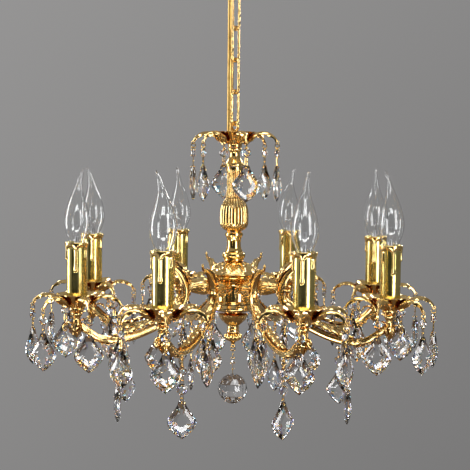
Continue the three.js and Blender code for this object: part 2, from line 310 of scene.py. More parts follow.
def smooth(points, count, closed=False):
    """A Catmull-Rom curve through the points, cut into count points evenly along it."""
    p = np.array(points, float)
    if closed:
        p = np.concatenate([p[-1:], p, p[:2]])
    else:
        p = np.concatenate([2 * p[:1] - p[1:2], p, 2 * p[-1:] - p[-2:-1]])
    t = np.linspace(0, 1, 16, endpoint=False)[:, None]
    out = []
    for a, b, c, d in zip(p, p[1:], p[2:], p[3:]):
        square = (2 * a - 5 * b + 4 * c - d) * t**2
        cube = (3 * b - a - 3 * c + d) * t**3
        out.append(0.5 * (2 * b + (c - a) * t + square + cube))
    out = np.concatenate([*out, p[-2:-1]])
    length = np.concatenate([[0], np.cumsum(np.linalg.norm(np.diff(out, axis=0), axis=1))])
    at = np.linspace(0, length[-1], count, endpoint=not closed)
    return np.stack([np.interp(at, length, out[:, k]) for k in range(out.shape[1])], -1)


def along(t, stops):
    """A smooth value at t from (t, value) stops."""
    curve = smooth(stops, 400)
    return np.interp(t, curve[:, 0], curve[:, 1])


def sweep(path, sections, side=(0, 1, 0), closed=False):
    """Sections of (across, up) points carried along a path. across runs along side, and up crosses both."""
    path = np.asarray(path, float)
    if closed:
        tangent = np.roll(path, -1, 0) - np.roll(path, 1, 0)
    else:
        tangent = np.gradient(path, axis=0)
    tangent /= np.linalg.norm(tangent, axis=1)[:, None]
    side = np.array(side, float) + 0 * path
    side -= tangent * (side * tangent).sum(1)[:, None]
    side /= np.linalg.norm(side, axis=1)[:, None]
    up = np.cross(tangent, side)
    sections = np.broadcast_to(sections, (len(path), *np.shape(sections)[-2:]))
    rows = path[:, None] + sections[..., :1] * side[:, None] + sections[..., 1:] * up[:, None]
    return skin(rows, loop=closed, caps=not closed)


def circle(radius, sides=12):
    a = (np.arange(sides) + 0.5) * TAU / sides
    return np.stack([radius * np.cos(a), radius * np.sin(a)], -1)


def flat(path):
    """Points [x, z] in the XZ plane."""
    return [(x, 0, z) for x, z in path]


def wire(path, radius, count=16, sides=8):
    return sweep(smooth(path, count), circle(radius, sides))


def hoop(radius, thick, steps=20, sides=8, stretch=1.0):
    """A ring of round wire in the XZ plane."""
    a = np.arange(steps) * TAU / steps
    path = np.stack([radius * np.cos(a), 0 * a, radius * stretch * np.sin(a)], -1)
    return sweep(path, circle(thick, sides), closed=True)


def bead(radius, z=0, x=0, sides=12, rows=8, squash=1.0):
    a = np.linspace(-math.pi / 2, math.pi / 2, rows)
    return moved(turned(np.stack([radius * np.cos(a), radius * squash * np.sin(a) + z], -1), sides),
                 (x, 0, 0))


def leaf(path, widths, count=28, across=9, thick=1.4, lobes=4, depth=0.3, ruffle=1.0, vein=0.8, cup=0.0,
         fan=0.3):
    """An acanthus leaf along a path: lobed and ruffled edges, a middle vein and slanting side veins."""
    path = smooth(path, count)
    t = np.linspace(0, 1, count)[:, None]
    v = np.linspace(-1, 1, across)[None]
    wave = np.abs(np.sin(math.pi * lobes * t))
    half = along(t, widths) / 2 * (1 - depth * (1 - wave) * (t < 0.9))
    slant = t * lobes - 0.35 * np.abs(v)
    lift = ruffle * np.abs(v) ** 3 * np.cos(TAU * slant) - vein * np.exp(-((v / 0.16) ** 2)) + cup * v**2
    lift = lift + fan * vein * np.sin(2 * TAU * slant) * np.abs(v)
    fade = np.clip(half / 3.0, 0.25, 1)
    body = thick / 2 * (1 - 0.72 * v**2) * np.clip(half / 2, 0.6, 1)
    top = np.stack([half * v, lift * fade + body], -1)
    low = np.stack([half * v, lift * fade - body], -1)[:, ::-1]
    return sweep(path, np.concatenate([top, low], 1))


# ---- Making objects ------------------------------------------------------------------------------


def mesh_of(name, shape, *materials, angle=40, groups=None):
    """A clean closed mesh in metres. angle is where an edge turns sharp, and 0 keeps every facet flat.
    groups gives (face count, material index) runs for a mesh with more than one material."""
    points, faces = shape
    mesh = bpy.data.meshes.new(name)
    mesh.from_pydata([tuple(p) for p in points * MM], [], faces)
    for material in materials:
        mesh.materials.append(material)
    if groups:
        index = np.concatenate([np.full(count, slot) for count, slot in groups])
        mesh.polygons.foreach_set("material_index", index.astype(np.int32))
    work = bmesh.new()
    work.from_mesh(mesh)
    bmesh.ops.remove_doubles(work, verts=work.verts, dist=2e-6)
    bmesh.ops.dissolve_degenerate(work, dist=1e-7, edges=work.edges)
    bmesh.ops.recalc_face_normals(work, faces=work.faces)
    work.to_mesh(mesh)
    work.free()
    if angle:
        mesh.shade_smooth()
        mesh.set_sharp_from_angle(angle=math.radians(angle))
    return mesh


def put(name, mesh, body, matrix=None, nodes=()):
    obj = bpy.data.objects.new(name, mesh)
    scene.collection.objects.link(obj)
    if matrix is not None:
        obj.matrix_world = matrix
    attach(obj, body)
    if nodes:
        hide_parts(*nodes)
    return obj


def at(x=0, y=0, z=0, turn=0):
    return Matrix.Translation(Vector((x, y, z)) * MM) @ Matrix.Rotation(math.radians(turn), 4, "Z")


def spot(angle, radius, z=0, turn=0):
    """A place at an angle from the front, facing out."""
    a = math.radians(angle)
    return at(radius * math.sin(a), -radius * math.cos(a), z, angle - 90 + turn)


# ---- Supply cable: one cable in six stretches, each over one joint of the chain ------------------

CABLE_ROUTE = [(-14.1, -16.6), (-14.1, -21.6), (-11.5, -31.6), (-9.5, -43.6), (-8.1, -56.6), (-8.1, -90),
               (-8.1, -150), (-8.1, -210), (-8.1, -250), (-8.1, -271)]
CABLE_CUTS = [-57.5, -100.2, -142.9, -185.6, -228.3]


def add_cable():
    line = smooth(flat(CABLE_ROUTE), 181)
    cuts = [0] + [int(np.argmin(abs(line[:, 2] - z))) for z in CABLE_CUTS] + [len(line) - 1]
    for i in range(len(cuts) - 1):
        part = line[cuts[i]:cuts[i + 1] + 1]
        mesh = mesh_of(f"cable_{i + 1}", sweep(part, circle(3.4, 20)), CABLE, angle=50)
        obj = bpy.data.objects.new(f"supply_cable_part_{i + 1}", mesh)
        scene.collection.objects.link(obj)
        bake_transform(obj)
        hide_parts("supply_cable")


add_cable()

# ---- Ceiling fitting and chain -------------------------------------------------------------------


def add_ceiling():
    plate = turned([(0, -4), (29, -4), (30, -3.3), (30, -0.7), (29.3, 0), (0, 0)], 64)
    rib = turned([(8, -4.9), (9.5, -5.4), (11, -4.9), (11, -3.9), (8, -3.9)], 40, loop=True)
    screws = [moved(turned([(0, -6.6), (2.2, -6.3), (3.6, -5.2), (4, -4), (4, -3.9), (0, -3.9)], 20),
                    (0, y, 0))
              for y in (-22, 22)]
    r = 8
    bend = LINK_PIVOTS[0] + r
    hook = [(0, -3), (0, -9), (-r * 0.6, -17), (-r, bend + 4), (-r, bend), (-r * 0.71, bend - r * 0.71),
            (0, bend - r), (r * 0.71, bend - r * 0.71), (r, bend), (r * 1.05, bend + 5)]
    nut = turned([(0, -9.5), (5.5, -9.5), (6, -8.9), (6, -4.2), (0, -4.2)], 6)
    end = bead(2.55, bend + 5, r * 1.05)
    shape = joined(plate, rib, *screws, nut, moved(joined(wire(flat(hook), 2.5, 40, 14), end), turn=-45))
    put("ceiling_bracket_plate_and_hook", mesh_of("bracket", shape, STEEL), "ceiling",
        nodes=["ceiling_bracket"])

    block = bpy.data.meshes.new("block")
    work = bmesh.new()
    bmesh.ops.create_cube(work, size=1)
    bmesh.ops.scale(work, vec=(0.0196, 0.0156, 0.0116), verts=work.verts)
    bmesh.ops.bevel(work, geom=work.edges[:], offset=0.0011, segments=3, affect="EDGES", profile=0.6)
    work.to_mesh(block)
    work.free()
    block.materials.append(PLASTIC)
    block.shade_smooth()
    block.set_sharp_from_angle(angle=math.radians(50))
    put("terminal_block_body", block, "ceiling", at(-18, 0, -10.3), ["terminal_block"])
    turrets = joined(*[moved(turned([(1.7, -17.4), (2.7, -17.4), (2.9, -17), (2.9, -15.8), (1.7, -15.8)], 20,
                                    loop=True), (-25, y, 0)) for y in (-4, 4)])
    put("terminal_block_turrets", mesh_of("turrets", turrets, PLASTIC), "ceiling")
    brass_screws = joined(*[moved(turned([(0, -16.8), (1.2, -16.8), (1.5, -16.5), (1.5, -15.6), (0, -15.6)],
                                         16),
                                  (-25, y, 0)) for y in (-4, 4)])
    put("terminal_block_screws", mesh_of("terminal_screws", brass_screws, POLISHED), "ceiling")

    outside = smooth([(20, -61), (22, -58.5), (26, -50), (29, -45.7), (35, -38), (40, -30.5), (46, -22),
                      (50.2, -15.2), (53.5, -9.5), (55.3, -7.5)], 40)
    foot = [(56.2, -6.6), (56.9, -5.3), (57, -3.6), (56.8, -1.6), (56, -0.8), (53.6, -0.8), (53, -2),
            (53, -5)]
    inside = [(r - 2.5, z + 1.2) for r, z in outside[::-1]]
    collar = [(17.3, -56), (17, -58), (17, -61.5), (17.6, -62.3), (19.4, -62.3)]
    canopy = turned([*outside, *foot, *inside, *collar], 96, loop=True)
    lip = turned([(26.4, -48.4), (27.6, -49), (28.6, -47.6), (27.8, -46.4)], 96, loop=True)
    put("ceiling_canopy_cup", mesh_of("canopy", joined(canopy, lip), POLISHED, angle=35), "canopy",
        nodes=["ceiling_canopy"])


def link_mesh():
    half, straight, wire_radius, steps = 6.15, 24.05 - 6.15, 1.85, 12
    top = [(half * math.cos(a), straight + half * math.sin(a)) for a in np.linspace(0, math.pi, steps)]
    low = [(half * math.cos(a), -straight + half * math.sin(a)) for a in np.linspace(math.pi, TAU, steps)]
    path = smooth(flat(top + low), 96, closed=True)
    local = np.random.default_rng(3)
    sections = circle(wire_radius, 14)[None] * (1 + 0.035 * local.standard_normal((96, 14, 1)))
    weld_row = int(np.argmin(abs(path[:, 2]) + 50 * (path[:, 0] < 0)))
    sections[weld_row] *= 1.05
    return mesh_of("chain_link", sweep(path, sections, closed=True), CHAIN, angle=60)


def add_chain():
    mesh = link_mesh()
    for k in range(1, 6):
        z = -260 + 44 * (k - 1) + 24.05
        put(f"chain_link_{k}_wire", mesh, f"link_{k}", at(z=z, turn=45 if k % 2 else -45),
            [f"chain_link_{k}"])


add_ceiling()
add_chain()

# ---- Column --------------------------------------------------------------------------------------


def fluted(count, depth, low, high, power=1.0, fade=3.0):
    """Flutes of the given depth between two heights, that die away at both ends."""
    def ripple(angle, r, z):
        edge = np.clip((z - low) / fade, 0, 1) * np.clip((high - z) / fade, 0, 1)
        groove = np.abs(np.sin(count * angle / 2)) ** power
        return np.where(r > BORE + 0.1, r - depth * edge * (1 - groove), r), z
    return ripple


def leafy(count, depth, low, high):
    """Overlapping upright leaves in relief: a rounded rise over each leaf with a vein down its middle."""
    def ripple(angle, r, z):
        h = np.clip((z - low) / (high - low), 0, 1)
        phase = count * angle / TAU
        v = 2 * np.abs(phase - np.round(phase))
        body = np.sqrt(np.clip(1 - v**2, 0, 1)) - 0.45 * np.exp(-((v / 0.13) ** 2))
        veins = 0.18 * np.sin(TAU * (5 * h - 1.6 * v))
        edge = np.clip((z - low) / 1.5, 0, 1) * np.clip((high - z) / 1.5, 0, 1)
        return np.where(r > BORE + 0.1, r + depth * edge * (body + veins - 0.6), r), z
    return ripple


def add_loop():
    stem = turned([(0, -275), (3, -275), (3, -270.5), (3.6, -270), (3.6, -269.3), (2.6, -268.6), (2.6, -267),
                   (0, -267)],
                  24)
    flange = turned([(0, -274.3), (12.4, -274.3), (13, -273.7), (13, -272.3), (12, -271.4), (8, -271.2),
                     (6.5, -270.3), (4, -270), (0, -270)], 48)
    collar = turned([(0, -279), (7.6, -279), (8, -278.6), (8, -277), (7.4, -276.5), (8, -276), (8, -274),
                     (0, -274)], 32)
    ring = moved(hoop(6.15, 1.85, 40, 14), (0, 0, -262.05), -45)
    put("hanging_loop_ring_and_flange", mesh_of("hanging_loop", joined(stem, flange, collar, ring),
                                                POLISHED), "lamp",
        nodes=["hanging_loop"])


def add_column():
    bell = bored([(12.2, -318.2), (13.2, -317.4), (13.5, -316), (13, -314.4), (11.6, -312), (10.1, -309.4),
                  (8.6, -306.5), (7.6, -303.5), (7.2, -300.5), (7.5, -297.8), (8.2, -296.9), (9.3, -296),
                  (9.8, -294.4), (9.5, -292.8), (8.5, -291.3)], 64)
    put("column_bell_turned", mesh_of("bell", bell, POLISHED, angle=60), "lamp",
        nodes=["column_bell"])

    vase_line = smooth([(10, -410), (11, -408.6), (14.6, -406.4), (18.2, -402.4), (20, -396), (20.3, -388),
                        (19.9, -380), (18.4, -373.4), (15, -366.6), (12, -361), (11.2, -355), (10.8, -345),
                        (10.9, -330), (11.8, -323.5), (11.6, -318.5)], 76)
    flutes = fluted(22, 1.3, -402, -322, 0.7, 5)
    foot = leafy(8, 1.2, -409, -396)

    def ripple(angle, r, z):
        return foot(angle, *flutes(angle, r, z))

    put("column_vase_fluted", mesh_of("vase", bored(list(vase_line), 132, ripple), CAST, angle=50), "lamp",
        nodes=["column_vase"])

    neck_line = [(13.4, -450.7), (14.2, -449.4), (14, -448), (15.6, -446.4), (16.5, -443.6), (16.2, -441),
                 (14.6, -439),
                 (12.4, -438.2), (12.4, -436.8), (11, -434.6), (9.9, -430), (9.7, -425), (10.1, -420.5),
                 (11, -417.5), (11.2, -416.2), (12.6, -415.4), (13, -413.6), (12.4, -411.6), (10.6, -410.3)]
    put("column_neck_turned", mesh_of("neck", bored(neck_line, 64), POLISHED, angle=35), "lamp",
        nodes=["column_neck"])

    dome_line = smooth([(36.2, -469.6), (37.4, -468.8), (37.6, -467.6), (36.6, -466.6), (35.2, -466.4),
                        (34.6, -465.4),
                        (33, -463.4), (29, -460), (23, -456.6), (17, -453.6), (13.6, -452), (12, -451)], 44)

    def filigree(angle, r, z):
        h = np.clip((z + 466) / 14, 0, 1)
        edge = np.clip((z + 466.5) / 1.5, 0, 1) * np.clip((-452 - z) / 1.5, 0, 1)
        phase = 8 * angle / TAU
        v = 2 * np.abs(phase - np.round(phase))
        arch = np.exp(-(((v - 0.9 * np.sqrt(np.clip(1 - h, 0, 1))) / 0.13) ** 2))
        scroll = 0.5 * np.cos(24 * angle + 9 * h) * np.cos(14 * h + 8 * angle)
        rise = np.where(r > BORE + 0.1, edge * (arch + scroll - 0.2), 0)
        return r + 0.5 * rise, z + 0.9 * rise

    put("hub_dome_filigree", mesh_of("dome", bored(list(dome_line), 176, filigree), CAST, angle=60), "lamp",
        nodes=["hub_dome"])
    leaf_ring = joined(*[
        moved(leaf(flat([(11.5, -453), (15.5, -452.4), (18, -454), (20.5, -457.4)]),
                   [(0, 5), (0.4, 7), (0.8, 5), (1, 1)],
                   14, 7, 0.9, 2, 0.2, 0.4, 0.4), turn=45 * i) for i in range(8)])
    put("hub_dome_leaf_ring", mesh_of("leaf_ring", leaf_ring, CAST, angle=60), "lamp")

    drum_line = [(22, -511.5), (25.4, -511.5), (26.6, -510.6), (27, -508.8), (26.2, -507.2), (25, -506.4),
                 (25, -486),
                 (25, -483), (25.8, -481.2), (27.4, -479.6), (27.8, -478.2), (30, -476.8), (32.2, -475),
                 (33, -474.3), (33.6, -473.2), (33.6, -471.4), (32.6, -470.2), (31, -469.9)]
    drum = turned([(BORE, -484), (22, -484), *drum_line, (BORE, -469.9)], 96, loop=True)
    put("hub_body_drum", mesh_of("drum", drum, POLISHED, angle=30), "lamp",
        nodes=["hub_body"])

    base_line = [(8, -553.4), (9.2, -552.4), (9.4, -551), (8.4, -549.6), (8.2, -547.6), (9, -546.6),
                 (8.6, -545.4),
                 (8.2, -543.6), (9.4, -541.6), (12.4, -538.6), (16, -535.4), (18.4, -532.4), (20, -529),
                 (21, -526.8),
                 (19.6, -525.8), (13, -525.2), (12, -524.4), (12, -521.6), (14, -520.9), (27.4, -520.8),
                 (29, -519.6), (29.5, -517.4), (28.8, -515), (27.6, -513.4), (27, -511.8)]
    base = bored(base_line, 120, leafy(12, 1.4, -542, -526.5))
    put("hub_base_leaf_cup", mesh_of("base", base, CAST, angle=45), "lamp", nodes=["hub_base"])

    onion_line = smooth([(0.4, -569.6), (2.4, -569.2), (3.6, -567), (6, -565.4), (9.6, -563.6), (12.6, -561),
                         (13.5, -558.6), (12.6, -556.2), (10, -554.4), (8, -553.8)], 34)

    def gadroon(angle, r, z):
        edge = np.clip((z + 568) / 4, 0, 1) * np.clip((-553.9 - z) / 1.2, 0, 1)
        return r * (1 - 0.13 * edge * (1 - np.abs(np.sin(5 * angle)) ** 0.8)), z

    onion = turned([(0, -569.6), *onion_line, (0, -553.8)], 80, gadroon)
    eye = moved(hoop(2.2, 0.8, 20, 8), (0, 0, -572.2))
    put("finial_onion", mesh_of("onion", joined(onion, eye), POLISHED, angle=50), "lamp",
        nodes=["finial"])


add_loop()
add_column()

# ---- Cast pans: the crown and the eight bobeches -------------------------------------------------


def pan_shape():
    """A leafy cup with acanthus fingers. Its rim is at z = 0, and finger i lies at 60 i degrees from +X."""
    outer = smooth([(9.5, -21.5), (10.6, -20.4), (10, -18.6), (11.4, -16.4), (15, -12.8), (19.6, -8.6),
                    (24.6, -3.8), (28, -0.6)], 24)
    inner = smooth([(27, 0.2), (23.5, -2.6), (19, -6.4), (15, -9), (12, -9.8), (BORE, -9.8)], 14)

    def ripple(angle, r, z):
        h = np.clip((z + 19) / 18, 0, 1)
        phase = 12 * angle / TAU
        v = 2 * np.abs(phase - np.round(phase))
        relief = np.sqrt(np.clip(1 - v**2, 0, 1)) - 0.4 * np.exp(-((v / 0.12) ** 2)) - 0.6
        return r + 1.5 * h * np.where(r > 9, relief, 0), z + 1.2 * h * np.where(r > 23, relief, 0)

    cup = turned([(BORE, -21.5), *outer, *inner], 96, ripple, loop=True)
    path = [(14, 0, -15), (20, 0, -9.4), (27, 0, -3.6), (37, 0, 0.2), (47, 0, -0.6), (54.5, 0, -4.4),
            (59.6, 0, -9.8), (61.3, 0, -14)]
    widths = [(0, 10), (0.15, 19), (0.34, 21), (0.52, 16.5), (0.68, 10.5), (0.8, 6), (0.9, 3.8), (1, 3.2)]
    finger = leaf(path, widths, 44, 13, 1.7, 5, 0.12, 0.5, 0.9, -4.2, fan=0.12)
    eye = moved(hoop(1.9, 0.7, 16, 8), (FINGER_EYE[0], 0, FINGER_EYE[1]))
    return joined(cup, *[moved(joined(finger, eye), turn=60 * i) for i in range(FINGERS)])


PAN = mesh_of("cast_pan", pan_shape(), CAST, angle=55)

# ---- Crystals ------------------------------------------------------------------------------------


def between(ring_a, ring_b, base_a, base_b):
    """Triangles between two closed rings of points, in step by how far round each has gone."""
    n, m = len(ring_a), len(ring_b)
    faces, i, j = [], 0, 0
    while i < n or j < m:
        if j >= m or (i < n and (i + 0.5) / n <= (j + 0.5) / m):
            faces.append((base_a + i % n, base_a + (i + 1) % n, base_b + j % m))
            i += 1
        else:
            faces.append((base_a + i % n, base_b + (j + 1) % m, base_b + j % m))
            j += 1
    return faces


def cut_stone(rings):
    """A faceted stone from closed rings of points, its first and last flat."""
    points = np.concatenate(rings)
    starts = np.concatenate([[0], np.cumsum([len(r) for r in rings])]).astype(int)
    faces = [tuple(range(len(rings[0])))[::-1]]
    for k in range(len(rings) - 1):
        faces += between(rings[k], rings[k + 1], starts[k], starts[k + 1])
    faces.append(tuple(range(starts[-2], starts[-1])))
    return points, faces


def octagon(z, radius, thick):
    """An eight-sided bead standing on edge, its broad faces along X."""
    def ring(r, x, count, turn):
        a = (np.arange(count) + turn) * TAU / count
        return np.stack([x + 0 * a, r * np.cos(a), z + r * np.sin(a)], -1)
    h = thick / 2
    return cut_stone([ring(radius * 0.45, -h, 8, 0.5), ring(radius * 0.76, -h * 0.62, 8, 0),
                      ring(radius, -0.35, 8, 0.5),
                      ring(radius, 0.35, 8, 0.5), ring(radius * 0.76, h * 0.62, 8, 0),
                      ring(radius * 0.45, h, 8, 0.5)])


PENDANT_EDGE = [(0, 0.0), (0, 0.2), (0.05, 0.25), (0.12, 0.31), (0.2, 0.44), (0.3, 0.64), (0.4, 0.83),
                (0.47, 0.93),
                (0.52, 0.985), (0.56, 1.0), (0.61, 0.96), (0.66, 0.93), (0.7, 0.84), (0.755, 0.78),
                (0.79, 0.66), (0.84, 0.56), (0.875, 0.42), (0.92, 0.31), (0.95, 0.18), (1.0, 0.0)]


def pendant(top):
    """A French-cut pendant with scalloped shoulders and broad clear faces along X."""
    height, half, thick = 50, 19.2, 10
    right = [(half * w, top - height * t) for t, w in PENDANT_EDGE]
    outline = np.array(right + [(-y, z) for y, z in right[-2:0:-1]])
    middle = np.array([0, top - height * 0.52])
    h = thick / 2

    def ring(scale, x, step, first=0, lengthen=1.0):
        picked = outline[first::step]
        spread = middle + (picked - middle) * np.array([scale, scale * lengthen])
        return np.concatenate([np.full((len(picked), 1), x), spread], 1)

    stack = [(0.34, h, 4, 1), (0.62, h * 0.82, 2, 1), (0.84, h * 0.5, 1, 0), (1.0, 0.5, 1, 0)]
    rings = [ring(s, -x, step, first) for s, x, step, first in stack]
    rings += [ring(s, x, step, first) for s, x, step, first in stack[::-1]]
    return cut_stone(rings)


def ball(z, radius):
    """A ball cut in staggered rows of broad facets."""
    rings = []
    rows = [(-72, 8), (-49, 14), (-25, 18), (0, 20), (25, 18), (49, 14), (72, 8)]
    for i, (latitude, count) in enumerate(rows):
        a = (np.arange(count) + 0.5 * (i % 2)) * TAU / count
        r = radius * math.cos(math.radians(latitude))
        rings.append(np.stack([r * np.cos(a), r * np.sin(a),
                               z + radius * math.sin(math.radians(latitude)) + 0 * a], -1))
    return cut_stone(rings)


# Colours of painted glints, standing in for the colours that cut crystal splits light into.
PAINTED_GLINT_COLOURS = [(1.0, 0.4, 0.08), (0.2, 0.45, 1.0), (1.0, 0.7, 0.2), (0.45, 0.4, 1.0), (1.0, 0.35, 0.2),
         (0.3, 0.8, 1.0)]


def crystal_mesh(name, shape, seed, painted_glint_share=0.36, largest=10e-6):
    """A cut crystal. Some small facets carry a strong colour, a painted glint; its broad ones stay clear."""
    mesh = mesh_of(name, shape, CRYSTAL, angle=0)
    local = random.Random(seed)
    tint = mesh.color_attributes.new(name="tint", type="FLOAT_COLOR", domain="CORNER")
    colours = np.ones((len(mesh.loops), 4), np.float32)
    for face in mesh.polygons:
        # A painted glint: a saturated colour on some small facets.
        if face.area < largest and local.random() < painted_glint_share:
            colour = local.choice(PAINTED_GLINT_COLOURS)
        else:
            level = local.uniform(0.96, 1.0)
            colour = (level, level, level)
        for k in face.loop_indices:
            colours[k, :3] = colour
    tint.data.foreach_set("color", colours.ravel())
    return mesh


def pin(top, bottom, x):
    """An oval brass link between two crystals, knotted in the middle, on a headed pin through each."""
    middle, half = (top + bottom) / 2, (top - bottom) / 2
    ring = moved(hoop(1.7, 0.5, 24, 6, stretch=half / 1.7), (0, 0, middle), 90)
    heads = [bead(1.05, z, side * x, 8, 6) for z in (top, bottom) for side in (-1, 1)]
    bars = [wire([(-x, 0, z), (0, 0, z), (x, 0, z)], 0.45, 6, 6) for z in (top, bottom)]
    return joined(ring, bead(1.3, middle, 0, 10, 7), *heads, *bars)


def string_metal(stops):
    """The ring that a string hangs from, and its links between (top, bottom) heights."""
    ring = moved(hoop(STRING_RING, 0.6, 20, 6), (0, 0, -STRING_RING))
    return joined(ring, *[pin(top, bottom, 2.4) for top, bottom in stops])


FINGER_CRYSTALS = [crystal_mesh(f"finger_crystals_{i}", joined(octagon(-13.2, 6.6, 6.2), pendant(-30.3)), i)
                   for i in range(4)]
FINGER_METAL = mesh_of("finger_metal", string_metal([(-5.6, -9.2), (-17.4, -33)]), POLISHED, angle=50)
LOWER_CRYSTALS = crystal_mesh("lower_crystals", joined(
    octagon(-16.2, 6.5, 6), octagon(-39.2, 7.5, 6.5), pendant(-54.2)), 11)
LOWER_METAL = mesh_of("lower_metal", string_metal([(-5.6, -12.4), (-20.4, -34), (-44.4, -57)]), POLISHED,
                      angle=50)


def add_string(name, matrix, body, crystals, metal, nodes=()):
    put(f"{name}_crystals", crystals, body, matrix, nodes)
    put(f"{name}_wires", metal, body, matrix, nodes)


def add_pan(name, node, angle, radius, z, turn):
    """A cast pan and the six strings on its fingers."""
    base = spot(angle, radius, z, turn)
    put(name, PAN, "lamp", base, [node])
    for i in range(FINGERS):
        out = base @ Matrix.Rotation(math.radians(60 * i), 4, "Z")
        hang = out @ at(FINGER_EYE[0] - 0.4, 0, FINGER_EYE[1] - 1.2, rng.uniform(-16, 16))
        add_string(f"{node}_drop_{i + 1}", hang, "lamp", FINGER_CRYSTALS[rng.randrange(4)], FINGER_METAL)


add_pan("crown_pan_leaves", "crown_pan", CROWN_FINGER, 0, CROWN_Z, 0)

# ---- Arms ----------------------------------------------------------------------------------------

CHANNEL = np.array([(-1, 0.5), (-0.86, 0.98), (-0.66, 1), (-0.54, 0.5), (0, 0.34), (0.54, 0.5), (0.66, 1),
                    (0.86, 0.98),
                    (1, 0.5), (1, -0.5), (0.86, -0.98), (0.66, -1), (0.54, -0.5), (0, -0.34), (-0.54, -0.5),
                    (-0.66, -1), (-0.86, -0.98), (-1, -0.5)])


def arm_shape():
    """One cast arm in the plane y = 0, from the hub out to its candle, with z from the hub's middle."""
    upright = Matrix.Rotation(math.radians(90), 3, "Y")

    def boss(angle, r, z):
        edge = np.clip((z - 34) / 5, 0, 1) * np.clip((69 - z) / 5, 0, 1)
        phase = 6 * angle / TAU + 0.012 * (z - 34)
        v = 2 * np.abs(phase - np.round(phase))
        relief = np.sqrt(np.clip(1 - v**2, 0, 1)) - 0.5 * np.exp(-((v / 0.15) ** 2)) - 0.5
        return r + 1.6 * edge * relief * (r > 1), z

    profile = smooth([(7.3, 25.3), (8.6, 26.6), (8.4, 29), (6.6, 31), (6.4, 34), (8, 37), (9.6, 41),
                      (10, 45.6), (9.4, 51), (7.6, 58), (6.4, 64), (6, 69)], 38)
    root = moved(turned([(0, 25.3), *profile, (0, 69)], 72, boss), tilt=upright)

    scroll = smooth([(107, 0, 37), (105, 0, 32.6), (98.6, 0, 30.4), (88.4, 0, 26.4), (79.4, 0, 17),
                     (73.2, 0, 4),
                     (71.8, 0, -8), (75.6, 0, -21), (84.8, 0, -33.4), (98, 0, -43), (120, 0, -54),
                     (148, 0, -64), (170, 0, -67.4), (193, 0, -64.6), (210, 0, -54), (222, 0, -44)], 96)
    t = np.linspace(0, 1, len(scroll))
    width = along(t, [(0, 1.2), (0.06, 2.6), (0.16, 4.6), (0.3, 5.6), (0.5, 6.2), (0.75, 6), (0.9, 5),
                      (1, 4)])
    height = along(t, [(0, 1), (0.06, 2.2), (0.16, 3.2), (0.3, 3.4), (0.5, 4.2), (0.75, 4.4), (0.9, 4),
                       (1, 3.4)])
    sections = CHANNEL[None] * np.stack([width, height], -1)[:, None]
    strap = sweep(scroll, sections)

    rail = leaf(flat([(74.6, -8), (80.6, -20), (94.6, -31), (118, -42.5), (142, -52), (160, -58.6),
                      (176, -61.6)]),
                [(0, 4), (0.15, 9), (0.5, 11), (0.8, 9), (1, 3)], 56, 9, 4.6, 9, 0.24, 1.6, 0.9, -1.0)
    crest = leaf(flat([(70.4, -20), (68.2, -6), (69, 7), (75, 19.6), (83.6, 28), (93.6, 32.6)]),
                 [(0, 4), (0.2, 11), (0.5, 14), (0.8, 9), (1, 2)], 48, 9, 2.0, 6, 0.16, 0.9, 1.0, 0.8)
    wrap = leaf(flat([(176, -72.4), (192, -69.6), (206, -62), (217, -52.4), (223, -45)]),
                [(0, 2), (0.3, 11), (0.7, 13), (1, 8)], 40, 9, 2.4, 6, 0.22, 1.2, 0.8, -1.4)
    tip = bead(1.8, 37.6, 107.2, 12, 8, 1.5)
    knob = bead(2.4, 29.4, 99.4, 12, 8)

    stem_line = [(5.4, -46), (6.4, -44.6), (6.4, -43), (5.2, -41), (4.6, -38), (5, -34), (6.8, -31.6),
                 (7.8, -29.6), (7.4, -27.6), (6.2, -26.4), (8.4, -25.4), (8.6, -24.6), (8.2, -24.3)]
    stem = moved(turned([(0, -46), *stem_line, (0, -24.3)], 40, fluted(10, 0.7, -40, -33)),
                 (CANDLE_RADIUS, 0, 0))
    nipple = moved(turned([(0, -25), (4.6, -25), *[(4.6 + 0.25 * (i % 2),
                                                    -24.6 + 0.72 * i) for i in range(37)],
                           (4.4, 3), (0, 3)], 20), (CANDLE_RADIUS, 0, 0))
    almond = [moved(leaf([(3.4, 0, -40), (6.8, 0, -44.6), (6.4, 0, -52), (2.6, 0, -58), (0.4, 0, -61.4)],
                         [(0, 5), (0.35, 9), (0.7, 6), (1, 0.8)], 20, 7, 1.4, 3, 0.2, 0.7, 0.6),
                    turn=90 * i + 45)
              for i in range(4)]
    almond = moved(joined(*almond), (CANDLE_RADIUS, 0, 0))
    curl_out = leaf(flat([(228, -44), (236, -40.4), (243, -42), (246.4, -47.6), (243.6, -52), (240, -50)]),
                    [(0, 8), (0.4, 9), (0.75, 5), (1, 2)], 36, 9, 1.8, 4, 0.25, 1.0, 0.8, -0.8)
    curl_in = leaf(flat([(226, -44), (218.6, -38.4), (211, -39), (206.4, -44.6)]),
                   [(0, 7), (0.4, 8), (0.75, 5), (1, 1.5)], 28, 9, 1.8, 4, 0.25, 1.0, 0.8, -0.8)
    lug = joined(moved(hoop(2.4, 0.9, 18, 8), (DROP_RADIUS, 0, -77)), bead(2.6, -73, DROP_RADIUS, 12, 8))
    inner_eye = moved(hoop(2.4, 0.8, 16, 8), (INNER_EYE[0], 0, INNER_EYE[1]))
    shape = joined(root, strap, rail, crest, wrap, tip, knob, stem, nipple, almond, curl_out, curl_in, lug,
                   inner_eye)
    return moved(shape, (0, 0, HUB_Z))


ARM = mesh_of("cast_arm", arm_shape(), CAST, angle=50)

# ---- Candles and bulbs ---------------------------------------------------------------------------

DRIPS = [(-92, 39, 2.0), (-30, 22, 1.8), (31, 31, 1.9), (90, 18, 1.8), (146, 34, 1.9), (207, 24, 1.8)]
TUBE_RADIUS = 13.8


